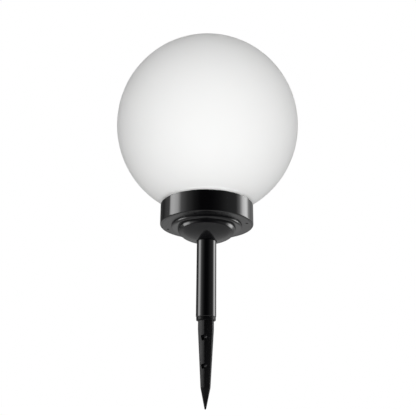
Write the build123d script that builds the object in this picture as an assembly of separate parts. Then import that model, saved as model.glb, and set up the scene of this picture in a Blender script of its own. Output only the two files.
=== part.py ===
from build123d import *
import os
from math import atan2, cos, degrees, radians, sin, sqrt, tan

# Solar spike light: a milky globe on a black collar, a short pole and a ground spike.
# Millimetres and degrees. The origin is on the axis at the ground line, which is the underside
# of the spike's flange. +Z is up, and the side that faces the viewer is -Y.

# Heights, from the tip of the spike to the top of the globe
SPIKE_REACH = 105.5
FLANGE_THICK = 4.5
POLE_SHOWN = 99.0
BOWL_DEPTH = 17.5
STEP_HEIGHT = 3.5
COLLAR_HEIGHT = 28.2
NECK_SHOWN = 3.47

# Globe: a blown ball with a neck that drops into the collar
GLOBE_D = 250.0
GLOBE_WALL = 2.0
NECK_FLARE = 3.0
NECK_TAIL = 0.9

# Spike: a stake with six slightly bulged sides, straight at first, then tapered, then a point
SPIKE_WIDTH = 21.2
SPIKE_STRAIGHT = 10.5
WAIST_WIDTH = 12.9
POINT_LENGTH = 25.0
TIP_WIDTH = 1.9
SPIKE_SIDES = 6
SPIKE_TURN = 20.0
SIDE_ARC = 24.0
CORNER_SHARE = 0.14
FLANGE_INSET = 0.5
FLANGE_ROUND = 0.9
SPIGOT_LENGTH = 26.0
SPIGOT_PLAY = 0.1
SPIGOT_WALL = 3.2
SPIGOT_FLOOR = 2.0
SPIGOT_LEAD = 1.5

# Grip pockets: slanted round cuts across one corner of the front side, and of the back side
UPPER_POCKET_D = 6.4
UPPER_POCKET_DROP = 21.0
LOWER_POCKET_D = 5.6
LOWER_POCKET_DROP = 55.2
POCKET_SHARE = 1.15
POCKET_SLOPE = 12.0
POCKET_TURN = 27.0
POCKET_DEPTH = 4.5

# Pole: a plain tube, pushed into the socket above and over the spigot below
POLE_D = 25.6
POLE_WALL = 2.0
POLE_EDGE = 0.6
SOCKET_DEPTH = 22.0
SOCKET_PLAY = 0.1
SOCKET_WALL = 2.2
MOUTH_CHAMFER = 1.0

# Base cover: flat ledge, step and bowl
COVER_WALL = 2.2
COVER_PLAY = 0.3
PLATE_THICK = 2.5
LEDGE_WIDTH = 12.25
STEP_WIDTH = 8.25
STEP_ROUND = 2.8

# Collar: ring wall with two inner ribs, the upper one under a deck
COLLAR_D = 123.0
COLLAR_WALL = 2.2
FOOT_ROUND = 1.6
RIM_ROUND = 0.6
RIB_THICK = 2.0
DECK_THICK = 3.0
DECK_PLAY = 0.2
NOTCH_PLAY = 0.3
NOTCH_MARGIN = 4.0

# Bayonet between the globe's neck and the collar
LUG_COUNT = 4
LUG_SPAN = 30.0
LUG_THICK = 2.1
LUG_PLAY = 0.3
LUG_WALL_PLAY = 0.5
LIP_SPAN = 36.0
LIP_THICK = 2.0
LIP_REACH = 2.0
LIP_SINK = 1.2
NECK_PLAY = 0.8
STOP_SPAN = 2.6

# Rubber rings
SEAL_THICK = 1.8
SEAL_MARGIN = 1.5
GASKET_WIDTH = 2.1
GASKET_THICK = 1.4

# Screws that hold the base cover to the collar
SCREW_COUNT = 4
SCREW_TURN = -15.0
SCREW_D = 1.8
SCREW_LENGTH = 7.0
HEAD_D = 3.0
HEAD_HEIGHT = 1.1
HEAD_SINK = 0.8
HOLE_PLAY = 0.25
BOSS_WALL = 1.6
BOSS_GAP = 0.5
PILOT_PLAY = 0.05
HEAD_ROUND = 0.4
CROSS_WIDTH = 0.6
CROSS_DEPTH = 0.6
CROSS_INSET = 0.6

# Solar panel and lamps on top of the deck
DECK_GAP = 2.0
SHEET_THICK = 1.6
SOLAR_STRIPS = 5
STRIP_GAP = 0.8
STRIP_THICK = 0.3
STRIP_MARGIN = 2.5
WINDOW_THICK = 2.0
LED_BOARD_WIDTH = 14.0
LED_COUNT = 4
LED_LENGTH = 3.5
LED_WIDTH = 2.8
LED_HEIGHT = 1.9
LENS_D = 2.2
LENS_HEIGHT = 0.6
LENS_ROUND = 0.5

# Control board under the deck
BOARD_LENGTH = 36.0
BOARD_WIDTH = 22.0
STANDOFF_HEIGHT = 3.6
STANDOFF_WALL = 1.6
STANDOFF_INSET = 4.0
CHIP_LENGTH = 5.0
CHIP_WIDTH = 4.0
CHIP_HEIGHT = 1.6
COIL_D = 7.0
COIL_HEIGHT = 5.0
COIL_FLANGE = 1.0
CAN_D = 5.0
CAN_HEIGHT = 6.0
CAN_ROUND = 0.4
PART_SPACING = 9.0

# Battery, its holder and the small screws
BATTERY_D = 10.5
BATTERY_LENGTH = 44.5
NUB_D = 3.8
NUB_LENGTH = 1.0
BATTERY_PLAY = 0.25
HOLDER_WALL = 1.2
HOLDER_ROOF = 1.6
HOLDER_END = 1.5
HOLDER_SKIRT = 1.5
HOLDER_GAP = 2.5
EAR_LENGTH = 7.0
EAR_WIDTH = 8.0
CONTACT_THICK = 0.4
CONTACT_WIDTH = 9.0
CONTACT_HEIGHT = 8.0
TAB_LENGTH = 4.0
TAB_HEIGHT = 3.0
SMALL_SCREW_D = 2.0
SMALL_SCREW_LENGTH = 4.0
SMALL_HEAD_D = 3.8
SMALL_HEAD_HEIGHT = 1.3

# Push switch in the ledge, on the side away from the viewer
SWITCH_D = 10.0
SWITCH_HEIGHT = 8.0
SWITCH_FLAT = 0.5
SWITCH_WALL = 0.8
SWITCH_GAP = 0.4
WASHER_THICK = 1.0
BUTTON_D = 6.0
BUTTON_PLAY = 0.2
BUTTON_PROUD = 1.6
BUTTON_TRAVEL = 1.5
BUTTON_LIP = 0.8
BUTTON_LIP_THICK = 1.0
BUTTON_ROUND = 0.6
BUTTON_ROOM = 0.5

# Inner wires
WIRE_D = 1.4
WIRE_HOLE_PLAY = 0.4
WIRE_BEND = 3.0
BEND_SHARE = 0.45
SWITCH_WIRE_DROP = 4.0
SOLAR_WIRE_SPACING = 10.0
LED_WIRE_SPACING = 14.0
SWITCH_WIRE_SPACING = 2.6
WIRE_OVERLAP = 5.0
WIRE_SWING = 6.0

# Levels
z_seam = FLANGE_THICK
z_mouth = z_seam + POLE_SHOWN
z_step = z_mouth + BOWL_DEPTH
z_plate = z_step + STEP_HEIGHT
z_inside = z_plate + PLATE_THICK
z_rim = z_plate + COLLAR_HEIGHT
z_flare = z_rim + NECK_SHOWN
z_pole_top = z_mouth + SOCKET_DEPTH
z_lip = z_rim - LIP_SINK - LIP_THICK
z_lug_top = z_lip - LUG_PLAY
z_lug = z_lug_top - LUG_THICK
z_neck = z_lug - NECK_TAIL
z_deck = z_neck - SEAL_THICK
z_under = z_deck - DECK_THICK
z_sheet = z_deck + SHEET_THICK
z_board_top = z_under - STANDOFF_HEIGHT
z_board = z_board_top - SHEET_THICK
z_washer = z_inside + WASHER_THICK
z_gasket = z_inside + GASKET_THICK

# Radii
pole_r = POLE_D / 2
spigot_r = pole_r - POLE_WALL - SPIGOT_PLAY
socket_in = pole_r + SOCKET_PLAY
socket_out = socket_in + SOCKET_WALL
collar_r = COLLAR_D / 2
collar_in = collar_r - COLLAR_WALL
cover_r = collar_in - COVER_PLAY
step_r = cover_r - LEDGE_WIDTH
bowl_r = step_r - STEP_WIDTH
lip_r = collar_in - LIP_REACH
neck_r = lip_r - NECK_PLAY
lug_r = collar_in - LUG_WALL_PLAY
globe_r = GLOBE_D / 2
flare_r = neck_r + NECK_FLARE
flare_rise = sqrt((globe_r + NECK_FLARE) ** 2 - flare_r ** 2)
z_globe = z_flare + flare_rise
gasket_in = cover_r - GASKET_WIDTH
boss_r = SCREW_D / 2 + BOSS_WALL
screw_circle = gasket_in - BOSS_GAP - boss_r
seal_in = neck_r - GLOBE_WALL - SEAL_MARGIN
seal_out = neck_r + SEAL_MARGIN
led_board_out = seal_in - DECK_GAP
led_board_in = led_board_out - LED_BOARD_WIDTH
led_circle = (led_board_out + led_board_in) / 2
panel_r = led_board_in - DECK_GAP
switch_circle = gasket_in - SWITCH_GAP - SWITCH_D / 2
button_r = BUTTON_D / 2
wire_r = WIRE_D / 2

# Places of the inner parts
holder_half = BATTERY_D / 2 + BATTERY_PLAY + HOLDER_WALL
holder_y = -(socket_out + HOLDER_GAP + holder_half)
battery_z = z_under - HOLDER_ROOF - BATTERY_PLAY - BATTERY_D / 2
contact_x = BATTERY_LENGTH / 2
holder_x = contact_x + CONTACT_THICK + HOLDER_END
tab_y = holder_y + holder_half + TAB_LENGTH
wire_level = z_board + SHEET_THICK / 2
board_y = socket_out + BOARD_WIDTH / 2
board_edge = board_y + BOARD_WIDTH / 2
standoff_x = BOARD_LENGTH / 2 - STANDOFF_INSET
standoff_y = board_y - BOARD_WIDTH / 2 + STANDOFF_INSET
standoff_r = SMALL_SCREW_D / 2 + STANDOFF_WALL
switch_place = Pos(0, switch_circle)

ON_FLOOR = (Align.CENTER, Align.CENTER, Align.MIN)
SAME_EDGE = 0.01


def rod(radius, z_low, z_high):
    """Upright cylinder about the axis, between two levels."""
    return Pos(0, 0, z_low) * Cylinder(radius, z_high - z_low, align=ON_FLOOR)


def ring(r_in, r_out, z_low, z_high):
    """Upright ring about the axis, between two levels."""
    return rod(r_out, z_low, z_high) - rod(r_in, z_low, z_high)


def block(size_x, size_y, z_low, z_high):
    """Upright box about the axis, between two levels."""
    return Pos(0, 0, z_low) * Box(size_x, size_y, z_high - z_low, align=ON_FLOOR)


def sector(r_in, r_out, z_low, z_high, middle, span):
    """Piece of a ring, centred on an angle."""
    section = Pos((r_in + r_out) / 2, (z_low + z_high) / 2) * Rectangle(r_out - r_in, z_high - z_low)
    return Rot(0, 0, middle - span / 2) * revolve(Plane.XZ * section, Axis.Z, span)


def turned(outline):
    """Solid turned about the axis from a closed outline in radius and height."""
    return revolve(Plane.XZ * make_face(outline), Axis.Z)


def round_circle(solid, radius, level, size):
    """Rounds the circular edge of one radius at one level."""
    def is_wanted(edge):
        return abs(edge.radius - radius) < SAME_EDGE and abs(edge.center().Z - level) < SAME_EDGE
    return fillet(solid.edges().filter_by(GeomType.CIRCLE).filter_by(is_wanted), size)


def around(count, first, radius):
    """Places on a circle, each turned to face outwards."""
    return [Rot(0, 0, first + 360 / count * index) * Pos(radius, 0) for index in range(count)]


def apart(solids):
    """Group of separate solids."""
    return Part() + list(solids)


def screw(shank_d, length, head_d, head_height):
    """Pan screw standing on its head's inner face, with a cross recess below."""
    head = round_circle(rod(head_d / 2, -head_height, 0), head_d / 2, -head_height, HEAD_ROUND)
    for turn in (0, 90):
        arm = block(head_d - 2 * CROSS_INSET, CROSS_WIDTH, -head_height, CROSS_DEPTH - head_height)
        head -= Rot(0, 0, turn) * arm
    return head + rod(shank_d / 2, 0, length)


def wire(points):
    """Round wire along straight runs joined by arcs."""
    runs = [(Vector(b) - Vector(a)).length for a, b in zip(points, points[1:])]
    bend = min(WIRE_BEND, BEND_SHARE * min(runs))
    path = FilletPolyline(*points, radius=bend)
    return sweep(Plane(path @ 0, z_dir=path % 0) * Circle(wire_r), path=path)


def spike_section(width, level):
    """Section with sides that are flat arcs, and with rounded corners."""
    step = 360 / SPIKE_SIDES
    corners = [Vector(width / 2, 0).rotate(Axis.Z, SPIKE_TURN + step * i) for i in range(SPIKE_SIDES)]
    bulge = width / 2 * sin(radians(step / 2)) * tan(radians(SIDE_ARC / 4))
    sides = [SagittaArc(a, b, -bulge) for a, b in zip(corners, corners[1:] + corners[:1])]
    section = make_face(sides)
    return Pos(0, 0, level) * fillet(section.vertices(), CORNER_SHARE * width / 2)


def spike_width_at(drop):
    """Corner width of the tapered length at a distance below the flange."""
    share = (drop - SPIKE_STRAIGHT) / (SPIKE_REACH - POINT_LENGTH - SPIKE_STRAIGHT)
    return SPIKE_WIDTH + share * (WAIST_WIDTH - SPIKE_WIDTH)


def grip_pocket(diameter, drop):
    """Slanted cylinder that opens at the left corner of the front side, and runs down and left into it."""
    corner_r = spike_width_at(drop) / 2
    half_step = radians(180 / SPIKE_SIDES)
    mouth = Pos(-POCKET_SHARE * corner_r * sin(half_step), -corner_r * cos(half_step), -drop)
    outside = SPIKE_WIDTH
    cutter = Pos(0, 0, (outside - POCKET_DEPTH) / 2) * Cylinder(diameter / 2, outside + POCKET_DEPTH)
    return Rot(0, 0, SPIKE_TURN) * mouth * Rot(0, 0, POCKET_TURN) * Rot(90 - POCKET_SLOPE, 0, 0) * cutter


def ground_spike():
    stake = loft(
        [
            spike_section(TIP_WIDTH, -SPIKE_REACH),
            spike_section(WAIST_WIDTH, POINT_LENGTH - SPIKE_REACH),
            spike_section(SPIKE_WIDTH, -SPIKE_STRAIGHT),
            spike_section(SPIKE_WIDTH, 0),
        ],
        ruled=True,
    )
    for side in (0, 180):
        stake -= Rot(0, 0, side) * grip_pocket(UPPER_POCKET_D, UPPER_POCKET_DROP)
        stake -= Rot(0, 0, side) * grip_pocket(LOWER_POCKET_D, LOWER_POCKET_DROP)
    flange_r = pole_r - FLANGE_INSET
    flange = round_circle(rod(flange_r, 0, z_seam), flange_r, 0, FLANGE_ROUND)
    spigot_top = z_seam + SPIGOT_LENGTH
    spigot = rod(spigot_r, z_seam, spigot_top)
    spigot = chamfer(spigot.edges().group_by(Axis.Z)[-1], SPIGOT_LEAD)
    spigot -= rod(spigot_r - SPIGOT_WALL, z_seam + SPIGOT_FLOOR, spigot_top)
    return stake + flange + spigot


def pole_tube():
    tube = rod(pole_r, z_seam, z_pole_top)
    tube = chamfer(tube.edges().filter_by(GeomType.CIRCLE), POLE_EDGE)
    return tube - rod(pole_r - POLE_WALL, z_seam, z_pole_top)


def bowl_curve(offset):
    """Quarter ellipse of the bowl, from its rim to the axis, moved inwards by an offset."""
    rise = sqrt(1 - (socket_in / bowl_r) ** 2)
    depth = BOWL_DEPTH / rise - offset
    curve = EllipticalCenterArc((0, 0), bowl_r - offset, depth, start_angle=270, arc_size=90)
    return Pos(0, z_step) * curve


def base_cover():
    below = bowl_curve(0)
    skin = turned(
        [
            below,
            Polyline(
                below @ 1,
                (step_r, z_step),
                (step_r, z_plate),
                (cover_r, z_plate),
                (cover_r, z_inside),
                (0, z_inside),
                below @ 0,
            ),
        ]
    )
    above = bowl_curve(COVER_WALL)
    room = turned(
        [
            above,
            Polyline(
                above @ 1,
                (bowl_r - COVER_WALL, z_step + COVER_WALL),
                (step_r - COVER_WALL, z_step + COVER_WALL),
                (step_r - COVER_WALL, z_inside),
                (0, z_inside),
                above @ 0,
            ),
        ]
    )
    skin = round_circle(skin, step_r, z_step, STEP_ROUND)
    post = rod(socket_out, z_mouth - COVER_WALL, z_pole_top + COVER_WALL)
    post &= skin + rod(socket_out, z_step, z_pole_top + COVER_WALL)
    mouth = rod(socket_in, z_mouth - BOWL_DEPTH, z_pole_top)
    funnel = Pos(0, 0, z_mouth) * Cone(
        socket_in + MOUTH_CHAMFER, socket_in, MOUTH_CHAMFER, align=ON_FLOOR
    )
    cover = skin - room + post - mouth - funnel
    for place in around(SCREW_COUNT, SCREW_TURN, screw_circle):
        cover -= place * rod(SCREW_D / 2 + HOLE_PLAY, z_plate, z_inside)
        cover -= place * rod(HEAD_D / 2 + HOLE_PLAY, z_plate, z_plate + HEAD_SINK + HEAD_HEIGHT)
    return cover - switch_place * rod(button_r + BUTTON_PLAY, z_plate, z_inside)


def cover_gasket():
    return ring(gasket_in, cover_r, z_inside, z_gasket)


def cover_screws():
    head_face = z_plate + HEAD_SINK + HEAD_HEIGHT
    one = Pos(0, 0, head_face) * screw(SCREW_D, SCREW_LENGTH, HEAD_D, HEAD_HEIGHT)
    return apart(place * one for place in around(SCREW_COUNT, SCREW_TURN, screw_circle))


def collar():
    body = ring(collar_in, collar_r, z_plate, z_rim)
    body = round_circle(body, collar_r, z_plate, FOOT_ROUND)
    body = round_circle(body, collar_r, z_rim, RIM_ROUND)
    into_wall = collar_in + COLLAR_WALL / 2
    for rib_low in (z_gasket, z_under - RIB_THICK):
        body += ring(gasket_in, into_wall, rib_low, rib_low + RIB_THICK)
    stop_angle = LUG_SPAN / 2 + degrees(LUG_PLAY / lug_r) + STOP_SPAN / 2
    for index in range(LUG_COUNT):
        middle = 360 / LUG_COUNT * index
        body += sector(lip_r, into_wall, z_lip, z_lip + LIP_THICK, middle, LIP_SPAN)
        body += sector(lip_r, into_wall, z_lug, z_lip, middle - stop_angle, STOP_SPAN)
    return body


def deck():
    """Plate on the collar's upper rib, notched to pass between the bayonet's lips and then turned."""
    body = rod(collar_in - DECK_PLAY, z_under, z_deck)
    for index in range(LUG_COUNT):
        middle = 360 / LUG_COUNT * (index + 0.5)
        body -= sector(lip_r - NOTCH_PLAY, collar_in, z_under, z_deck, middle, LIP_SPAN + NOTCH_MARGIN)
    screw_end = z_plate + HEAD_SINK + HEAD_HEIGHT + SCREW_LENGTH
    for place in around(SCREW_COUNT, SCREW_TURN, screw_circle):
        body += place * rod(boss_r, z_inside, z_under)
        body -= place * rod(SCREW_D / 2 + PILOT_PLAY, z_inside, screw_end + PILOT_PLAY)
    small_pilot = SMALL_SCREW_D / 2 + PILOT_PLAY
    for x, y in standoff_places():
        body += Pos(x, y) * rod(standoff_r, z_board_top, z_under)
        body -= Pos(x, y) * rod(small_pilot, z_board_top, z_board + SMALL_SCREW_LENGTH + PILOT_PLAY)
    for x, y in ear_places():
        pilot_end = z_under - HOLDER_ROOF + SMALL_SCREW_LENGTH + PILOT_PLAY
        body -= Pos(x, y) * rod(small_pilot, z_under, pilot_end)
    for x, y in solar_wire_places() + led_wire_places():
        body -= Pos(x, y) * rod(wire_r + WIRE_HOLE_PLAY, z_under, z_deck)
    return body


def globe_seal():
    return ring(seal_in, seal_out, z_deck, z_neck)


def globe():
    dip = -degrees(atan2(flare_rise, flare_r))

    def skin_curves(wall):
        """Ball and flare of the skin at a depth below the outer face."""
        ball = CenterArc((0, z_globe), globe_r - wall, dip, 90 - dip)
        flare = CenterArc((flare_r, z_flare), NECK_FLARE + wall, 180 + dip, -dip)
        return ball, flare

    ball_out, flare_out = skin_curves(0)
    ball_in, flare_in = skin_curves(GLOBE_WALL)
    neck_end = Polyline(
        flare_out @ 1,
        (neck_r, z_neck),
        (neck_r - GLOBE_WALL, z_neck),
        flare_in @ 1,
    )
    shell = turned([ball_out, flare_out, neck_end, flare_in, ball_in, Line(ball_in @ 1, ball_out @ 1)])
    for index in range(LUG_COUNT):
        middle = 360 / LUG_COUNT * index
        shell += sector(neck_r - GLOBE_WALL / 2, lug_r, z_lug, z_lug_top, middle, LUG_SPAN)
    return shell


def solar_board():
    return rod(panel_r, z_deck, z_sheet)


def solar_cells():
    cell_r = panel_r - STRIP_MARGIN
    width = (2 * cell_r - STRIP_GAP * (SOLAR_STRIPS - 1)) / SOLAR_STRIPS
    strips = []
    for index in range(SOLAR_STRIPS):
        x = (index - (SOLAR_STRIPS - 1) / 2) * (width + STRIP_GAP)
        strip = Pos(x, 0) * block(width, 2 * cell_r, z_sheet, z_sheet + STRIP_THICK)
        strips.append(strip & rod(cell_r, z_sheet, z_sheet + STRIP_THICK))
    return apart(strips)


def solar_window():
    return rod(panel_r, z_sheet, z_sheet + WINDOW_THICK) - solar_cells()


def led_board():
    return ring(led_board_in, led_board_out, z_deck, z_sheet)


def leds():
    top = z_sheet + LED_HEIGHT
    lens = rod(LENS_D / 2, top, top + LENS_HEIGHT)
    lens = fillet(lens.edges().group_by(Axis.Z)[-1], LENS_ROUND)
    lamp = block(LED_WIDTH, LED_LENGTH, z_sheet, top) + lens
    return apart(place * lamp for place in around(LED_COUNT, 0, led_circle))


def standoff_places():
    return [(-standoff_x, standoff_y), (standoff_x, standoff_y)]


def ear_places():
    reach = holder_x + EAR_LENGTH / 2
    return [(-reach, holder_y), (reach, holder_y)]


def solar_wire_places():
    return [(side * SOLAR_WIRE_SPACING / 2, board_y) for side in (-1, 1)]


def led_wire_places():
    return [(side * LED_WIRE_SPACING / 2, led_circle) for side in (-1, 1)]


def control_board():
    board = Pos(0, board_y) * block(BOARD_LENGTH, BOARD_WIDTH, z_board, z_board_top)
    for x, y in standoff_places():
        board -= Pos(x, y) * rod(SMALL_SCREW_D / 2 + HOLE_PLAY, z_board, z_board_top)
    return board


def driver_chip():
    return Pos(0, board_y) * block(CHIP_LENGTH, CHIP_WIDTH, z_board - CHIP_HEIGHT, z_board)


def inductor():
    z_low = z_board - COIL_HEIGHT
    drum = rod(COIL_D / 2, z_low, z_board)
    waist = ring(COIL_D / 2 - COIL_FLANGE, COIL_D, z_low + COIL_FLANGE, z_board - COIL_FLANGE)
    return Pos(-PART_SPACING, board_y) * (drum - waist)


def capacitor():
    can = rod(CAN_D / 2, z_board - CAN_HEIGHT, z_board)
    can = fillet(can.edges().group_by(Axis.Z)[0], CAN_ROUND)
    return Pos(PART_SPACING, board_y) * can


def battery_holder():
    roof_low = z_under - HOLDER_ROOF
    skirt_low = battery_z - HOLDER_SKIRT
    holder = block(2 * holder_x, 2 * holder_half, roof_low, z_under)
    holder += block(2 * (holder_x + EAR_LENGTH), EAR_WIDTH, roof_low, z_under)
    side_length = 2 * (contact_x - HOLDER_END)
    for side in (-1, 1):
        wall = block(side_length, HOLDER_WALL, skirt_low, roof_low)
        holder += Pos(0, side * (holder_half - HOLDER_WALL / 2)) * wall
        end = block(HOLDER_END, 2 * holder_half, skirt_low, roof_low)
        holder += Pos(side * (holder_x - HOLDER_END / 2), 0) * end
    for side in (-1, 1):
        hole = rod(SMALL_SCREW_D / 2 + HOLE_PLAY, roof_low, z_under)
        holder -= Pos(side * (holder_x + EAR_LENGTH / 2), 0) * hole
    return Pos(0, holder_y) * holder


def battery_cell():
    can_length = BATTERY_LENGTH - NUB_LENGTH
    can = Cylinder(BATTERY_D / 2, can_length, align=ON_FLOOR)
    nub = Pos(0, 0, can_length) * Cylinder(NUB_D / 2, NUB_LENGTH, align=ON_FLOOR)
    return Pos(-contact_x, holder_y, battery_z) * Rot(0, 90, 0) * (can + nub)


def contact(side):
    """Flat spring contact at one end of the battery, with a tab for its wire."""
    plate = Box(CONTACT_THICK, CONTACT_WIDTH, CONTACT_HEIGHT)
    plate = Pos(0, holder_y, battery_z) * plate
    tab_length = tab_y - holder_y
    tab = Box(CONTACT_THICK, tab_length, TAB_HEIGHT, align=(Align.CENTER, Align.MIN, Align.CENTER))
    tab = Pos(0, holder_y, wire_level) * tab
    return Pos(side * (contact_x + CONTACT_THICK / 2), 0) * (plate + tab)


def contact_positive():
    return contact(1)


def contact_negative():
    return contact(-1)


def inner_screws():
    one = screw(SMALL_SCREW_D, SMALL_SCREW_LENGTH, SMALL_HEAD_D, SMALL_HEAD_HEIGHT)
    screws = [Pos(x, y, z_board) * one for x, y in standoff_places()]
    screws += [Pos(x, y, z_under - HOLDER_ROOF) * one for x, y in ear_places()]
    return apart(screws)


def switch_body():
    body = rod(SWITCH_D / 2, z_washer, z_washer + SWITCH_HEIGHT)
    room = BUTTON_LIP_THICK + BUTTON_TRAVEL + BUTTON_ROOM
    body -= rod(SWITCH_D / 2 - SWITCH_WALL, z_washer, z_washer + room)
    flat = block(SWITCH_D, SWITCH_D, z_washer + room, z_washer + SWITCH_HEIGHT)
    body -= Pos(0, SWITCH_FLAT - SWITCH_D) * flat
    return switch_place * body


def switch_washer():
    return switch_place * ring(button_r + BUTTON_PLAY, SWITCH_D / 2, z_inside, z_washer)


def switch_button():
    low = z_plate - BUTTON_PROUD
    stem = round_circle(rod(button_r, low, z_washer), button_r, low, BUTTON_ROUND)
    lip = rod(button_r + BUTTON_LIP, z_washer, z_washer + BUTTON_LIP_THICK)
    return switch_place * (stem + lip)


def solar_leads():
    return apart(Pos(x, y) * rod(wire_r, z_board_top, z_deck) for x, y in solar_wire_places())


def led_leads():
    leads = []
    for x, y in led_wire_places():
        leads.append(wire([(x, y, z_deck), (x, y, wire_level), (x, board_edge, wire_level)]))
    return apart(leads)


def battery_leads():
    leads = []
    for side in (-1, 1):
        start = contact_x + CONTACT_THICK
        swing = start + WIRE_SWING
        tab_middle = tab_y - TAB_LENGTH / 2
        points = [
            (side * start, tab_middle, wire_level),
            (side * swing, tab_middle, wire_level),
            (side * swing, board_y, wire_level),
            (side * BOARD_LENGTH / 2, board_y, wire_level),
        ]
        leads.append(wire(points))
    return apart(leads)


def switch_leads():
    level = z_washer + SWITCH_HEIGHT - SWITCH_WIRE_DROP
    start = switch_circle - SWITCH_D / 2 + SWITCH_FLAT
    end = board_edge - WIRE_OVERLAP
    leads = []
    for side in (-1, 1):
        x = side * SWITCH_WIRE_SPACING / 2
        leads.append(wire([(x, start, level), (x, end, level), (x, end, z_board)]))
    return apart(leads)


NODES = [
    ground_spike,
    pole_tube,
    base_cover,
    cover_gasket,
    cover_screws,
    collar,
    deck,
    globe_seal,
    globe,
    solar_board,
    solar_cells,
    solar_window,
    led_board,
    leds,
    control_board,
    driver_chip,
    inductor,
    capacitor,
    battery_holder,
    battery_cell,
    contact_positive,
    contact_negative,
    inner_screws,
    switch_body,
    switch_washer,
    switch_button,
    solar_leads,
    led_leads,
    battery_leads,
    switch_leads,
]

os.makedirs("parts", exist_ok=True)
for make in NODES:
    export_step(make(), f"parts/{make.__name__}.step")
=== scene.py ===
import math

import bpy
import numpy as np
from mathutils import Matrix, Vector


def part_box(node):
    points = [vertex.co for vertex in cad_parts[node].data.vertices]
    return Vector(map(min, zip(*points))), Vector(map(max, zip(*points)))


bl_info = {
    "name": "Solar Spike Light",
    "version": (1, 0, 0),
    "blender": (4, 5, 0),
    "location": "View3D > Sidebar > Spike Light",
    "description": "Finishes a solar globe light on a ground spike and sets up its studio",
    "category": "Object",
}

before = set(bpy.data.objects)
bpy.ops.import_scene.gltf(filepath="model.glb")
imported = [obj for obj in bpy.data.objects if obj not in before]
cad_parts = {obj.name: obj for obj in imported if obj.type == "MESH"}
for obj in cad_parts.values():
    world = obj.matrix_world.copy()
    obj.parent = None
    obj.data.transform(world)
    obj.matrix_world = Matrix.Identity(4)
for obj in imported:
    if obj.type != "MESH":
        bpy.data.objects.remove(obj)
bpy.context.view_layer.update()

MM = 0.001

# Levels and ends of the CAD pieces at which a finish starts or stops.
LEDGE_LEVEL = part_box("collar")[0].z
TIP_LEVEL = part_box("ground_spike")[0].z
CELLS_LOW, CELLS_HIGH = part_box("solar_cells")
LAMP_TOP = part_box("leds")[1].z
BATTERY_LOW, BATTERY_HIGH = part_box("battery_cell")

# Strips of silicon in the panel, the yellow top of a lamp, and the bare ends of the battery.
STRIPS, STRIP_GAP = 5, 0.8 * MM
LENS_HEIGHT = 0.6 * MM
BARE_BASE, BARE_TIP = 0.4 * MM, 1.6 * MM

# What gloss sees round the object: degrees to the right of the viewer's side, and the share of the
# panels' brightness there.
PANEL_STOPS = (
    (-180, 0.015), (-130, 0.015), (-104, 0.09), (-98, 0.72), (-88, 0.88), (-75, 0.76), (-65, 0.2),
    (-48, 0.075), (-30, 0.02), (-15, 0.003), (10, 0.003), (30, 0.013), (50, 0.04), (76, 0.055),
    (87, 0.24), (99, 0.9), (109, 0.95), (115, 0.75), (123, 0.2), (134, 0.08), (180, 0.015),
)
# The far ground brightens along this way, down and a little to the back, and is full at this reach.
GROUND_WAY, GROUND_FULL = (0.0, 0.25, -1.0), 0.6
# The front sun's rays turn to the left of the view's line, and rise more steeply than it.
FRONT_TURN, FRONT_RISE = math.radians(3), math.radians(12)
FRONT_BREADTH, BACK_BREADTH = math.radians(35), math.radians(10)
# The floor lies just under the tip, and its mesh has a closed core inside its rings.
FLOOR_DROP = 0.2 * MM
FLOOR_SIDES, FLOOR_RINGS, FLOOR_CORE = 96, 12, 0.02

WHITE = (1.0, 1.0, 1.0, 1.0)
# Sockets of a colour Mix node, taken by number because their names repeat.
MIX_SHARE, MIX_FIRST, MIX_SECOND, MIX_RESULT = 0, 6, 7, 2


def linear(code):
    """Linear RGBA of an sRGB hex colour."""
    parts = np.array([int(code[i:i + 2], 16) for i in (1, 3, 5)]) / 255
    low = parts <= 0.04045
    values = np.where(low, parts / 12.92, ((parts + 0.055) / 1.055) ** 2.4)
    return (*values.tolist(), 1.0)


def colour(label, description, code):
    """Colour setting with an sRGB hex default."""
    return bpy.props.FloatVectorProperty(
        name=label, description=description, default=linear(code), size=4, subtype="COLOR",
        min=0, max=1,
    )


class SpikeLightColours(bpy.types.PropertyGroup):
    """Colours of the light's pieces."""

    globe: colour("Globe", "Milky skin of the globe", "#F3F3F2")
    gloss_black: colour("Gloss black", "Collar and tube", "#030304")
    satin_black: colour("Satin black", "Base cover", "#08080A")
    spike_black: colour("Spike black", "Ground spike", "#060607")
    rubber: colour("Rubber", "Seals and the switch washer", "#1B1B1C")
    button: colour("Button", "Push button", "#2A2A2C")
    oxide: colour("Black oxide", "Screws in the base cover", "#121214")
    zinc: colour("Zinc", "Screws inside", "#B9B8B2")
    nickel: colour("Nickel", "Battery contacts and the ends of the cell", "#C9C4B8")
    aluminium: colour("Aluminium", "Capacitor can", "#C8C9CC")
    board_green: colour("Green mask", "Control board", "#1F5B33")
    board_white: colour("White mask", "Solar board, lamp board and lamp bodies", "#E6E6E0")
    silicon: colour("Silicon", "Solar cells", "#141E3C")
    silver: colour("Silver", "Printed lines on the cells", "#BFC2C6")
    resin: colour("Resin", "Window over the cells", "#EEF2F3")
    phosphor: colour("Phosphor", "Lenses of the lamps", "#E8DC9A")
    moulding: colour("Inner mouldings", "Deck, holder, chip and switch", "#161617")
    ferrite: colour("Ferrite", "Coil core", "#3A3836")
    sleeve: colour("Sleeve", "Plastic sleeve of the cell", "#3F8F4E")
    lead_red: colour("Red lead", "Wires on the right", "#A3201C")
    lead_black: colour("Black lead", "Wires on the left", "#171718")


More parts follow.
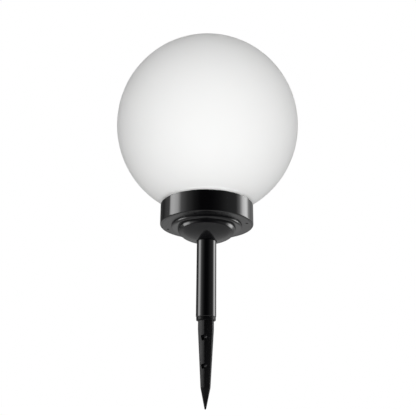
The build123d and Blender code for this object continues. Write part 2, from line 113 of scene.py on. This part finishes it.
class SpikeLightStudio(bpy.types.PropertyGroup):
    """Camera, floor and light."""

    camera_back: bpy.props.FloatProperty(
        name="Camera distance", description="From the axis, towards the viewer",
        default=0.7, unit="LENGTH",
    )
    camera_height: bpy.props.FloatProperty(
        name="Camera height", description="Above the tip of the spike",
        default=0.002, unit="LENGTH",
    )
    camera_side: bpy.props.FloatProperty(
        name="Camera offset", description="To the right of the axis",
        default=0.0017, unit="LENGTH",
    )
    camera_pitch: bpy.props.FloatProperty(
        name="Camera pitch", description="Upward tilt",
        default=math.radians(17.86), unit="ROTATION",
    )
    camera_roll: bpy.props.FloatProperty(
        name="Camera roll", description="Turn about the view",
        default=math.radians(0.4), unit="ROTATION",
    )
    lens: bpy.props.FloatProperty(
        name="Lens", description="Focal length on a 36 mm sensor",
        default=48.26, unit="CAMERA",
    )
    lens_shift: bpy.props.FloatProperty(
        name="Lens shift", description="Upward, as a share of the picture",
        default=0.0484,
    )
    ambient: bpy.props.FloatProperty(
        name="Ambient", description="Even light from all round",
        default=0.34, min=0,
    )
    front: bpy.props.FloatProperty(
        name="Front light", description="Soft light from the camera's side",
        default=2.35, min=0,
    )
    back: bpy.props.FloatProperty(
        name="Back light", description="Light from behind",
        default=1.5, min=0,
    )
    panels: bpy.props.FloatProperty(
        name="Side panels", description="Brightness of the two panels that the gloss shows",
        default=6.8, min=0,
    )
    panel_foot: bpy.props.FloatProperty(
        name="Panel foot", description="Elevation where the panels begin",
        default=math.radians(-20), unit="ROTATION",
    )
    panel_full: bpy.props.FloatProperty(
        name="Panel full", description="Elevation where they reach full brightness",
        default=math.radians(-13), unit="ROTATION",
    )
    floor_size: bpy.props.FloatProperty(
        name="Floor size", description="Radius of the floor",
        default=0.5, unit="LENGTH",
    )
    floor: colour("Floor", "Plain pale floor", "#E9E9E9")
    floor_glow: bpy.props.FloatProperty(
        name="Floor white", description="White that the floor adds for the camera",
        default=0.75, min=0,
    )
    floor_gloss: bpy.props.FloatProperty(
        name="Floor in gloss", description="White that the floor adds in reflections",
        default=0.15, min=0,
    )
    floor_far: bpy.props.FloatProperty(
        name="Far ground", description="Pale ground past the floor, in reflections",
        default=0.65, min=0,
    )


def node(tree, kind, inputs=(), **settings):
    """Adds a node, sets its properties, and fills its inputs with values or with links, each given
    as (node, output)."""
    made = tree.nodes.new(kind)
    for key, value in settings.items():
        setattr(made, key, value)
    for key, value in dict(inputs).items():
        if isinstance(value, tuple) and isinstance(value[0], bpy.types.Node):
            tree.links.new(value[0].outputs[value[1]], made.inputs[key])
        else:
            made.inputs[key].default_value = value
    return made


def finish(name, inputs, build):
    """New material: a Principled surface with constant inputs, and the links that build(tree)
    returns."""
    material = bpy.data.materials.new(name)
    material.use_nodes = True
    tree = material.node_tree
    tree.nodes.clear()
    surface = node(tree, "ShaderNodeBsdfPrincipled", {**inputs, **build(tree)})
    node(tree, "ShaderNodeOutputMaterial", {"Surface": (surface, "BSDF")})
    return material


def wear(material, *names):
    """Puts a material on CAD nodes."""
    for name in names:
        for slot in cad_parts[name].material_slots:
            slot.link = "OBJECT"
            slot.material = material


def settings():
    """Colours and studio settings of the scene."""
    scene = bpy.context.scene
    return scene.spike_light_colours, scene.spike_light_studio


def grained(name, inputs, tint, size, rough, lift, shift=0.0, stretch=(1.0, 1.0, 1.0)):
    """Surface with a noise of a size in millimetres, stretched along an axis by a share under 1.
    The noise moves the roughness between two values, the tint by a share, and the relief by
    millimetres."""
    spread = {"From Min": 0.25, "From Max": 0.75}

    def build(tree):
        where = node(tree, "ShaderNodeTexCoord")
        along = node(
            tree, "ShaderNodeMapping", {"Vector": (where, "Object"), "Scale": stretch}
        )
        grain = node(
            tree, "ShaderNodeTexNoise",
            {"Vector": (along, "Vector"), "Scale": 1 / (size * MM), "Detail": 4.0},
        )
        dull = node(
            tree, "ShaderNodeMapRange",
            {"Value": (grain, "Fac"), **spread, "To Min": rough[0], "To Max": rough[1]},
        )
        shade = node(
            tree, "ShaderNodeMapRange",
            {"Value": (grain, "Fac"), **spread, "To Min": 1 - shift, "To Max": 1 + shift},
        )
        skin = node(
            tree, "ShaderNodeHueSaturation",
            {"Color": tuple(tint), "Value": (shade, "Result")},
        )
        bump = node(
            tree, "ShaderNodeBump",
            {"Height": (grain, "Fac"), "Strength": 0.3, "Distance": lift * MM},
        )
        return {
            "Base Color": (skin, "Color"), "Roughness": (dull, "Result"),
            "Normal": (bump, "Normal"),
        }

    return finish(name, inputs, build)


def blown_polyethylene(tint):
    """Blow-moulded milky polyethylene: soft and satin, with light that spreads in the wall.
    The wall is a little cloudy, and the mould leaves a faint seam over the sides and the top."""
    cloud_size, peel_size = 45 * MM, 2.5 * MM
    seam_core, seam_edge = 0.1 * MM, 0.5 * MM

    def build(tree):
        where = node(tree, "ShaderNodeTexCoord")
        cloud = node(
            tree, "ShaderNodeTexNoise",
            {"Vector": (where, "Object"), "Scale": 1 / cloud_size, "Detail": 2.0},
        )
        shade = node(
            tree, "ShaderNodeMapRange",
            {"Value": (cloud, "Fac"), "To Min": 0.985, "To Max": 1.0},
        )
        skin = node(
            tree, "ShaderNodeHueSaturation",
            {"Color": tuple(tint), "Value": (shade, "Result")},
        )
        peel = node(
            tree, "ShaderNodeTexNoise",
            {"Vector": (where, "Object"), "Scale": 1 / peel_size, "Detail": 2.0},
        )
        rough = node(
            tree, "ShaderNodeMapRange",
            {"Value": (peel, "Fac"), "To Min": 0.6, "To Max": 0.7},
        )
        place = node(tree, "ShaderNodeSeparateXYZ", {"Vector": (where, "Object")})
        off = node(tree, "ShaderNodeMath", {0: (place, "Y")}, operation="ABSOLUTE")
        seam = node(
            tree, "ShaderNodeMapRange",
            {"Value": (off, "Value"), "From Min": seam_core, "From Max": seam_edge,
             "To Min": 1.0, "To Max": 0.0},
        )
        relief = node(
            tree, "ShaderNodeMath", {0: (peel, "Fac"), 1: 0.35, 2: (seam, "Result")},
            operation="MULTIPLY_ADD",
        )
        bump = node(
            tree, "ShaderNodeBump",
            {"Height": (relief, "Value"), "Strength": 0.12, "Distance": 0.08 * MM},
        )
        return {
            "Base Color": (skin, "Color"), "Roughness": (rough, "Result"),
            "Normal": (bump, "Normal"),
        }

    return finish(
        "blown_milky_polyethylene",
        {"IOR": 1.5, "Specular IOR Level": 0.03, "Subsurface Weight": 0.15,
         "Subsurface Radius": (1.0, 0.95, 0.9), "Subsurface Scale": 6 * MM},
        build,
    )


def textured_abs(tint):
    """ABS from a spark-eroded mould: the flat ledge has a fine grain, and the step and bowl below
    are semi-gloss. The real grain is about 0.3 mm, drawn at 0.8 mm so that it shows."""
    grain_size, haze_size = 0.8 * MM, 12 * MM
    smooth_below, grain_above = LEDGE_LEVEL - 0.3 * MM, LEDGE_LEVEL - 0.1 * MM

    def build(tree):
        where = node(tree, "ShaderNodeTexCoord")
        place = node(tree, "ShaderNodeSeparateXYZ", {"Vector": (where, "Object")})
        ledge = node(
            tree, "ShaderNodeMapRange",
            {"Value": (place, "Z"), "From Min": smooth_below, "From Max": grain_above},
        )
        grain = node(
            tree, "ShaderNodeTexNoise",
            {"Vector": (where, "Object"), "Scale": 1 / grain_size, "Detail": 3.0},
        )
        haze = node(
            tree, "ShaderNodeTexNoise",
            {"Vector": (where, "Object"), "Scale": 1 / haze_size, "Detail": 3.0},
        )
        satin = node(
            tree, "ShaderNodeMapRange",
            {"Value": (haze, "Fac"), "To Min": 0.1, "To Max": 0.16},
        )
        rough = node(
            tree, "ShaderNodeMapRange",
            {"Value": (ledge, "Result"), "To Min": (satin, "Result"), "To Max": 0.26},
        )
        height = node(
            tree, "ShaderNodeMath", {0: (grain, "Fac"), 1: (ledge, "Result")},
            operation="MULTIPLY",
        )
        bump = node(
            tree, "ShaderNodeBump",
            {"Height": (height, "Value"), "Strength": 0.5, "Distance": 0.06 * MM},
        )
        return {"Roughness": (rough, "Result"), "Normal": (bump, "Normal")}

    return finish("spark_textured_black_abs", {"Base Color": tuple(tint), "IOR": 1.53}, build)


def crystal_silicon(tint, line):
    """Cast polycrystalline silicon: blue flakes about 7 mm across, with printed silver lines.
    A broad line runs down the middle of each strip, and thin ones cross it every 2 mm."""
    flake_size = 7 * MM
    half_strip = (CELLS_HIGH.x - CELLS_LOW.x + STRIP_GAP) / (2 * STRIPS)
    half_spacing, half_broad, half_thin = 1 * MM, 0.6 * MM, 0.08 * MM

    def build(tree):
        where = node(tree, "ShaderNodeTexCoord")
        flakes = node(
            tree, "ShaderNodeTexVoronoi", {"Vector": (where, "Object"), "Scale": 1 / flake_size}
        )
        shade = node(
            tree, "ShaderNodeMapRange",
            {"Value": (flakes, "Color"), "To Min": 0.6, "To Max": 1.5},
        )
        skin = node(
            tree, "ShaderNodeHueSaturation",
            {"Color": tuple(tint), "Value": (shade, "Result")},
        )
        place = node(tree, "ShaderNodeSeparateXYZ", {"Vector": (where, "Object")})
        across = node(
            tree, "ShaderNodeMath", {0: (place, "X"), 1: half_strip}, operation="PINGPONG"
        )
        along = node(
            tree, "ShaderNodeMath", {0: (place, "Y"), 1: half_spacing}, operation="PINGPONG"
        )
        broad = node(
            tree, "ShaderNodeMath", {0: (across, "Value"), 1: half_broad}, operation="LESS_THAN"
        )
        thin = node(
            tree, "ShaderNodeMath", {0: (along, "Value"), 1: half_thin}, operation="LESS_THAN"
        )
        lines = node(
            tree, "ShaderNodeMath", {0: (broad, "Value"), 1: (thin, "Value")},
            operation="MAXIMUM",
        )
        face = node(
            tree, "ShaderNodeMix",
            {MIX_SHARE: (lines, "Value"), MIX_FIRST: (skin, "Color"), MIX_SECOND: tuple(line)},
            data_type="RGBA",
        )
        rough = node(
            tree, "ShaderNodeMapRange",
            {"Value": (lines, "Value"), "To Min": 0.2, "To Max": 0.4},
        )
        return {"Base Color": (face, MIX_RESULT), "Roughness": (rough, "Result")}

    return finish("cast_polycrystalline_silicon", {"IOR": 1.6}, build)


def masked_board(tint):
    """Solder-masked glass-fibre board: a semi-gloss green skin, lighter over the copper lines,
    1.3 mm apart."""
    dark, middle, light = ((value, value, value, 1.0) for value in (0.8, 0.9, 1.5))

    def build(tree):
        where = node(tree, "ShaderNodeTexCoord")
        lines = node(
            tree, "ShaderNodeTexBrick",
            {"Vector": (where, "Object"), "Color1": dark, "Color2": middle, "Mortar": light,
             "Scale": 1.0, "Mortar Size": 0.18 * MM, "Brick Width": 8 * MM,
             "Row Height": 1.3 * MM},
        )
        skin = node(
            tree, "ShaderNodeHueSaturation",
            {"Color": tuple(tint), "Value": (lines, "Color")},
        )
        rough = node(
            tree, "ShaderNodeMapRange",
            {"Value": (lines, "Fac"), "To Min": 0.38, "To Max": 0.28},
        )
        bump = node(
            tree, "ShaderNodeBump",
            {"Height": (lines, "Fac"), "Strength": 0.3, "Distance": 0.04 * MM},
        )
        return {
            "Base Color": (skin, "Color"), "Roughness": (rough, "Result"),
            "Normal": (bump, "Normal"),
        }

    return finish("green_masked_board", {"IOR": 1.5}, build)


def two_tone(name, inputs, axis, level, below, above, rough):
    """Moulding in two colours that meet at a level on one axis, with a fine haze of 2 mm in its
    roughness."""
    haze_size, half_blend = 2 * MM, 0.05 * MM

    def build(tree):
        where = node(tree, "ShaderNodeTexCoord")
        place = node(tree, "ShaderNodeSeparateXYZ", {"Vector": (where, "Object")})
        side = node(
            tree, "ShaderNodeMapRange",
            {"Value": (place, axis), "From Min": level - half_blend,
             "From Max": level + half_blend},
        )
        skin = node(
            tree, "ShaderNodeMix",
            {MIX_SHARE: (side, "Result"), MIX_FIRST: tuple(below), MIX_SECOND: tuple(above)},
            data_type="RGBA",
        )
        haze = node(
            tree, "ShaderNodeTexNoise",
            {"Vector": (where, "Object"), "Scale": 1 / haze_size, "Detail": 3.0},
        )
        dull = node(
            tree, "ShaderNodeMapRange",
            {"Value": (haze, "Fac"), "To Min": rough[0], "To Max": rough[1]},
        )
        return {"Base Color": (skin, MIX_RESULT), "Roughness": (dull, "Result")}

    return finish(name, inputs, build)


def sleeved_cell(sleeve, metal):
    """Nickel-plated steel can in a shrunk plastic sleeve: glossy colour, with bare metal at both
    ends."""
    ripple_size = 3 * MM

    def build(tree):
        where = node(tree, "ShaderNodeTexCoord")
        place = node(tree, "ShaderNodeSeparateXYZ", {"Vector": (where, "Object")})
        left = node(
            tree, "ShaderNodeMath", {0: (place, "X"), 1: BATTERY_LOW.x + BARE_BASE},
            operation="GREATER_THAN",
        )
        right = node(
            tree, "ShaderNodeMath", {0: (place, "X"), 1: BATTERY_HIGH.x - BARE_TIP},
            operation="LESS_THAN",
        )
        covered = node(
            tree, "ShaderNodeMath", {0: (left, "Value"), 1: (right, "Value")},
            operation="MULTIPLY",
        )
        skin = node(
            tree, "ShaderNodeMix",
            {MIX_SHARE: (covered, "Value"), MIX_FIRST: tuple(metal), MIX_SECOND: tuple(sleeve)},
            data_type="RGBA",
        )
        bare = node(
            tree, "ShaderNodeMapRange",
            {"Value": (covered, "Value"), "To Min": 1.0, "To Max": 0.0},
        )
        ripple = node(
            tree, "ShaderNodeTexNoise",
            {"Vector": (where, "Object"), "Scale": 1 / ripple_size, "Detail": 3.0},
        )
        rough = node(
            tree, "ShaderNodeMapRange",
            {"Value": (ripple, "Fac"), "To Min": 0.18, "To Max": 0.34},
        )
        bump = node(
            tree, "ShaderNodeBump",
            {"Height": (ripple, "Fac"), "Strength": 0.2, "Distance": 0.05 * MM},
        )
        return {
            "Base Color": (skin, MIX_RESULT), "Metallic": (bare, "Result"),
            "Roughness": (rough, "Result"), "Normal": (bump, "Normal"),
        }

    return finish("sleeved_battery_can", {"IOR": 1.5}, build)


class SPIKELIGHT_OT_stage(bpy.types.Operator):
    """Makes the floor, the studio light and the camera"""

    bl_idname = "spikelight.stage"
    bl_label = "Stage"

    def execute(self, context):
        studio = settings()[1]
        scene = context.scene
        scene.view_settings.view_transform = "Standard"
        self.camera(scene, studio)
        self.world(scene, studio)
        self.lamps(scene, studio)
        self.floor(scene, studio)
        return {"FINISHED"}

    def camera(self, scene, studio):
        """Camera in front of the axis, tilted up and rolled a little."""
        data = bpy.data.cameras.new("viewer")
        data.sensor_width = 36.0
        data.lens = studio.lens
        data.shift_y = studio.lens_shift
        data.clip_start, data.clip_end = 0.01, 200.0
        viewer = bpy.data.objects.new("viewer", data)
        scene.collection.objects.link(viewer)
        height = TIP_LEVEL + studio.camera_height
        place = Matrix.Translation((studio.camera_side, -studio.camera_back, height))
        tilt = Matrix.Rotation(math.radians(90) + studio.camera_pitch, 4, "X")
        roll = Matrix.Rotation(studio.camera_roll, 4, "Z")
        viewer.matrix_world = place @ tilt @ roll
        scene.camera = viewer

    def world(self, scene, studio):
        """White for the camera and through clear pieces, an even dim light for matte surfaces, and
        for gloss a dim room over a pale ground, with two soft-edged panels that are placed by
        their angle from the viewer's side and end above the ground."""
        world = bpy.data.worlds.new("studio")
        world.use_nodes = True
        world.cycles.sampling_method = "NONE"
        scene.world = world
        tree = world.node_tree
        tree.nodes.clear()
        where = node(tree, "ShaderNodeTexCoord")
        way = node(tree, "ShaderNodeSeparateXYZ", {"Vector": (where, "Generated")})
        front = node(tree, "ShaderNodeMath", {0: (way, "Y"), 1: -1.0}, operation="MULTIPLY")
        angle = node(
            tree, "ShaderNodeMath", {0: (way, "X"), 1: (front, "Value")}, operation="ARCTAN2"
        )
        share = node(
            tree, "ShaderNodeMapRange",
            {"Value": (angle, "Value"), "From Min": -math.pi, "From Max": math.pi},
        )
        ring = node(tree, "ShaderNodeValToRGB", {"Fac": (share, "Result")})
        ramp = ring.color_ramp
        for degrees, _ in PANEL_STOPS[1:-1]:
            ramp.elements.new(degrees / 360 + 0.5)
        for element, (_, value) in zip(ramp.elements, PANEL_STOPS):
            element.color = (value, value, value, 1.0)
        path = node(tree, "ShaderNodeLightPath")
        clear = node(
            tree, "ShaderNodeMath", {0: (path, "Is Camera Ray"), 1: (path, "Is Transmission Ray")},
            operation="MAXIMUM",
        )
        level = node(
            tree, "ShaderNodeMapRange",
            {"Value": (clear, "Value"), "To Min": studio.ambient, "To Max": 1.0},
        )
        matte = node(
            tree, "ShaderNodeBackground", {"Color": WHITE, "Strength": (level, "Result")}
        )
        rise = node(
            tree, "ShaderNodeMapRange",
            {"Value": (way, "Z"), "From Min": math.sin(studio.panel_foot),
             "From Max": math.sin(studio.panel_full), "To Max": studio.panels},
        )
        lit = node(
            tree, "ShaderNodeMath", {0: (ring, "Color"), 1: (rise, "Result")},
            operation="MULTIPLY",
        )
        fall = node(
            tree, "ShaderNodeVectorMath", {0: (where, "Generated"), 1: GROUND_WAY},
            operation="DOT_PRODUCT",
        )
        far = node(
            tree, "ShaderNodeMapRange",
            {"Value": (fall, "Value"), "From Max": GROUND_FULL, "To Max": studio.floor_far},
        )
        room = node(
            tree, "ShaderNodeMath", {0: (lit, "Value"), 1: (far, "Result")}, operation="MAXIMUM"
        )
        gloss = node(
            tree, "ShaderNodeBackground", {"Color": WHITE, "Strength": (room, "Value")}
        )
        light = node(
            tree, "ShaderNodeMixShader",
            {0: (path, "Is Glossy Ray"), 1: (matte, "Background"), 2: (gloss, "Background")},
        )
        node(tree, "ShaderNodeOutputWorld", {"Surface": (light, "Shader")})

    def lamps(self, scene, studio):
        """Two suns that only matte surfaces see: a broad one near the view's line, and a narrow
        one against it."""
        view = scene.camera.matrix_world.to_3x3()
        aside = Matrix.Rotation(FRONT_TURN, 3, "Z") @ Matrix.Rotation(FRONT_RISE, 3, "X")
        for name, strength, breadth, turn in (
            ("front_light", studio.front, FRONT_BREADTH, aside @ view),
            ("back_light", studio.back, BACK_BREADTH, view @ Matrix.Rotation(math.pi, 3, "Y")),
        ):
            data = bpy.data.lights.new(name, "SUN")
            data.energy = strength
            data.angle = breadth
            lamp = bpy.data.objects.new(name, data)
            lamp.matrix_world = turn.to_4x4()
            lamp.visible_glossy = False
            scene.collection.objects.link(lamp)

    def floor(self, scene, studio):
        """Flat disc at the tip of the spike: radius times (cos, sin) of the angle, on a grid of
        both. It is clear from below."""
        turns = np.linspace(0, 2 * np.pi, FLOOR_SIDES, endpoint=False)
        radii = studio.floor_size * np.linspace(FLOOR_CORE, 1, FLOOR_RINGS)
        grid = radii[:, None, None] * np.stack([np.cos(turns), np.sin(turns)], -1)
        level = np.full((*grid.shape[:2], 1), TIP_LEVEL - FLOOR_DROP)
        points = np.concatenate([grid, level], -1).reshape(-1, 3)
        row, col = np.meshgrid(np.arange(FLOOR_RINGS - 1), np.arange(FLOOR_SIDES), indexing="ij")
        inner, outer = row * FLOOR_SIDES, (row + 1) * FLOOR_SIDES
        step = (col + 1) % FLOOR_SIDES
        quads = np.stack([inner + col, outer + col, outer + step, inner + step], -1)
        core = list(range(FLOOR_SIDES))
        mesh = bpy.data.meshes.new("floor")
        mesh.from_pydata(points.tolist(), [], quads.reshape(-1, 4).tolist() + [core])
        floor = bpy.data.objects.new("floor", mesh)
        floor.visible_shadow = False
        scene.collection.objects.link(floor)
        material = bpy.data.materials.new("plain_pale_floor")
        material.use_nodes = True
        tree = material.node_tree
        tree.nodes.clear()
        path = node(tree, "ShaderNodeLightPath")
        clear = node(
            tree, "ShaderNodeMath", {0: (path, "Is Camera Ray"), 1: (path, "Is Transmission Ray")},
            operation="MAXIMUM",
        )
        seen = node(
            tree, "ShaderNodeMath", {0: (clear, "Value"), 1: studio.floor_glow},
            operation="MULTIPLY",
        )
        glow = node(
            tree, "ShaderNodeMath",
            {0: (path, "Is Glossy Ray"), 1: studio.floor_gloss, 2: (seen, "Value")},
            operation="MULTIPLY_ADD",
        )
        white = node(tree, "ShaderNodeEmission", {"Strength": (glow, "Value")})
        paint = node(tree, "ShaderNodeBsdfDiffuse", {"Color": tuple(studio.floor)})
        both = node(tree, "ShaderNodeAddShader", {0: (paint, "BSDF"), 1: (white, "Emission")})
        side = node(tree, "ShaderNodeNewGeometry")
        air = node(tree, "ShaderNodeBsdfTransparent")
        sheet = node(
            tree, "ShaderNodeMixShader",
            {0: (side, "Backfacing"), 1: (both, "Shader"), 2: (air, "BSDF")},
        )
        node(tree, "ShaderNodeOutputMaterial", {"Surface": (sheet, "Shader")})
        mesh.materials.append(material)


class SPIKELIGHT_OT_globe(bpy.types.Operator):
    """Finishes the milky globe"""

    bl_idname = "spikelight.globe"
    bl_label = "Globe"

    def execute(self, context):
        wear(blown_polyethylene(settings()[0].globe), "globe")
        return {"FINISHED"}


class SPIKELIGHT_OT_housing(bpy.types.Operator):
    """Finishes the collar and the base cover"""

    bl_idname = "spikelight.housing"
    bl_label = "Housing"

    def execute(self, context):
        colours = settings()[0]
        # Injection-moulded gloss ABS: a mirror-like black skin, slightly wavy, with handling haze.
        gloss = grained(
            "moulded_gloss_black_abs", {"IOR": 1.53}, colours.gloss_black,
            size=14, rough=(0.04, 0.08), lift=0.02,
        )
        wear(gloss, "collar")
        wear(textured_abs(colours.satin_black), "base_cover")
        return {"FINISHED"}


class SPIKELIGHT_OT_stand(bpy.types.Operator):
    """Finishes the tube and the ground spike"""

    bl_idname = "spikelight.stand"
    bl_label = "Stand"

    def execute(self, context):
        colours = settings()[0]
        # Extruded gloss PVC: black, with faint draw lines along the tube.
        tube = grained(
            "extruded_gloss_black_pvc", {"IOR": 1.53}, colours.gloss_black,
            size=1.2, rough=(0.05, 0.1), lift=0.01, stretch=(1.0, 1.0, 0.02),
        )
        wear(tube, "pole_tube")
        # Moulded polypropylene: a waxy satin skin with flow marks about 10 mm long.
        spike = grained(
            "moulded_black_polypropylene", {"IOR": 1.49, "Specular IOR Level": 0.14},
            colours.spike_black,
            size=3, rough=(0.28, 0.36), lift=0.03, shift=0.1, stretch=(1.0, 1.0, 0.3),
        )
        wear(spike, "ground_spike")
        return {"FINISHED"}


class SPIKELIGHT_OT_fasteners(bpy.types.Operator):
    """Finishes the screws"""

    bl_idname = "spikelight.fasteners"
    bl_label = "Screws"

    def execute(self, context):
        colours = settings()[0]
        # Black-oxide steel: a dark, slightly oily skin that hardly shines.
        oxide = grained(
            "black_oxide_steel", {"IOR": 1.6}, colours.oxide,
            size=0.6, rough=(0.4, 0.55), lift=0.01, shift=0.2,
        )
        wear(oxide, "cover_screws")
        # Zinc-plated steel: bright and a little cloudy.
        zinc = grained(
            "zinc_plated_steel", {"Metallic": 1.0}, colours.zinc,
            size=0.8, rough=(0.25, 0.45), lift=0.01, shift=0.05,
        )
        wear(zinc, "inner_screws")
        return {"FINISHED"}


class SPIKELIGHT_OT_seals(bpy.types.Operator):
    """Finishes the rubber rings and the push button"""

    bl_idname = "spikelight.seals"
    bl_label = "Seals and button"

    def execute(self, context):
        colours = settings()[0]
        # Pressed EPDM rubber: dull, with a bloom that lightens it in patches of some millimetres.
        rubber = grained(
            "pressed_black_rubber", {"IOR": 1.5}, colours.rubber,
            size=4, rough=(0.62, 0.78), lift=0.03, shift=0.25,
        )
        wear(rubber, "globe_seal", "cover_gasket", "switch_washer")
        # Pressed silicone rubber: grey, with a soft sheen.
        button = grained(
            "pressed_grey_silicone", {"IOR": 1.43}, colours.button,
            size=2, rough=(0.5, 0.62), lift=0.02, shift=0.1,
        )
        wear(button, "switch_button")
        return {"FINISHED"}


class SPIKELIGHT_OT_solar(bpy.types.Operator):
    """Finishes the solar panel and the lamps round it"""

    bl_idname = "spikelight.solar"
    bl_label = "Panel and lamps"

    def execute(self, context):
        colours = settings()[0]
        # White solder mask on glass-fibre board: satin, with a faint weave.
        board = grained(
            "white_masked_board", {"IOR": 1.5}, colours.board_white,
            size=0.8, rough=(0.4, 0.5), lift=0.02, shift=0.03,
        )
        wear(board, "solar_board", "led_board")
        wear(crystal_silicon(colours.silicon, colours.silver), "solar_cells")
        # Poured clear resin: glassy, with a slow ripple from setting.
        window = grained(
            "poured_clear_resin", {"IOR": 1.5, "Transmission Weight": 1.0}, colours.resin,
            size=9, rough=(0.02, 0.06), lift=0.03,
        )
        wear(window, "solar_window")
        # Moulded lamp: a white body with a yellowish lens on top.
        lamp = two_tone(
            "moulded_lamp_resin", {"IOR": 1.5}, "Z", LAMP_TOP - LENS_HEIGHT,
            below=colours.board_white, above=colours.phosphor, rough=(0.2, 0.3),
        )
        wear(lamp, "leds")
        return {"FINISHED"}


class SPIKELIGHT_OT_control(bpy.types.Operator):
    """Finishes the control board and the parts on it"""

    bl_idname = "spikelight.control"
    bl_label = "Control board"

    def execute(self, context):
        colours = settings()[0]
        wear(masked_board(colours.board_green), "control_board")
        # Moulded epoxy: dull black with a fine sparkle of filler.
        epoxy = grained(
            "moulded_black_epoxy", {"IOR": 1.55}, colours.moulding,
            size=0.3, rough=(0.45, 0.6), lift=0.01, shift=0.15,
        )
        wear(epoxy, "driver_chip")
        # Sintered ferrite: matte dark grey and slightly porous.
        ferrite = grained(
            "sintered_ferrite", {"IOR": 2.0}, colours.ferrite,
            size=0.5, rough=(0.5, 0.65), lift=0.03, shift=0.15,
        )
        wear(ferrite, "inductor")
        # Drawn aluminium: soft shine with lines along the draw.
        can = grained(
            "drawn_aluminium", {"Metallic": 1.0}, colours.aluminium,
            size=0.4, rough=(0.25, 0.4), lift=0.01, shift=0.04, stretch=(1.0, 1.0, 0.1),
        )
        wear(can, "capacitor")
        return {"FINISHED"}


class SPIKELIGHT_OT_battery(bpy.types.Operator):
    """Finishes the deck, and the battery, its holder and contacts and the switch body on it"""

    bl_idname = "spikelight.battery"
    bl_label = "Deck, battery and switch"

    def execute(self, context):
        colours = settings()[0]
        # Moulded nylon: black, satin, with a fine texture.
        nylon = grained(
            "moulded_black_nylon", {"IOR": 1.53}, colours.moulding,
            size=1.5, rough=(0.38, 0.5), lift=0.02, shift=0.1,
        )
        wear(nylon, "deck", "battery_holder", "switch_body")
        wear(sleeved_cell(colours.sleeve, colours.nickel), "battery_cell")
        # Nickel-plated spring steel: warm bright metal with a rolled grain.
        nickel = grained(
            "nickel_plated_steel", {"Metallic": 1.0}, colours.nickel,
            size=0.6, rough=(0.15, 0.3), lift=0.01, shift=0.04,
        )
        wear(nickel, "contact_positive", "contact_negative")
        return {"FINISHED"}


class SPIKELIGHT_OT_leads(bpy.types.Operator):
    """Finishes the inner wires"""

    bl_idname = "spikelight.leads"
    bl_label = "Wires"

    def execute(self, context):
        colours = settings()[0]
        # PVC-sleeved wire: soft semi-gloss, red on the right and black on the left.
        sleeve = two_tone(
            "sleeved_copper_wire", {"IOR": 1.53}, "X", 0.0,
            below=colours.lead_black, above=colours.lead_red, rough=(0.3, 0.42),
        )
        wear(sleeve, "solar_leads", "led_leads", "battery_leads", "switch_leads")
        return {"FINISHED"}


class SPIKELIGHT_PT_panel(bpy.types.Panel):
    """Lists the pieces of the light and their settings"""

    bl_label = "Solar Spike Light"
    bl_idname = "SPIKELIGHT_PT_panel"
    bl_space_type = "VIEW_3D"
    bl_region_type = "UI"
    bl_category = "Spike Light"

    def draw(self, context):
        column = self.layout.column()
        for operator in PIECES:
            column.operator(operator.bl_idname)
        for group in settings():
            box = self.layout.box()
            for name in group.__annotations__:
                box.prop(group, name)


PIECES = (
    SPIKELIGHT_OT_stage,
    SPIKELIGHT_OT_globe,
    SPIKELIGHT_OT_housing,
    SPIKELIGHT_OT_stand,
    SPIKELIGHT_OT_fasteners,
    SPIKELIGHT_OT_seals,
    SPIKELIGHT_OT_solar,
    SPIKELIGHT_OT_control,
    SPIKELIGHT_OT_battery,
    SPIKELIGHT_OT_leads,
)
GROUPS = (SpikeLightColours, SpikeLightStudio)


def register():
    for item in (*GROUPS, *PIECES, SPIKELIGHT_PT_panel):
        bpy.utils.register_class(item)
    bpy.types.Scene.spike_light_colours = bpy.props.PointerProperty(type=SpikeLightColours)
    bpy.types.Scene.spike_light_studio = bpy.props.PointerProperty(type=SpikeLightStudio)


def unregister():
    del bpy.types.Scene.spike_light_studio
    del bpy.types.Scene.spike_light_colours
    for item in reversed((*GROUPS, *PIECES, SPIKELIGHT_PT_panel)):
        bpy.utils.unregister_class(item)


def main():
    register()
    bpy.ops.spikelight.stage()
    bpy.ops.spikelight.globe()
    bpy.ops.spikelight.housing()
    bpy.ops.spikelight.stand()
    bpy.ops.spikelight.fasteners()
    bpy.ops.spikelight.seals()
    bpy.ops.spikelight.solar()
    bpy.ops.spikelight.control()
    bpy.ops.spikelight.battery()
    bpy.ops.spikelight.leads()


if __name__ == "__main__":
    main()
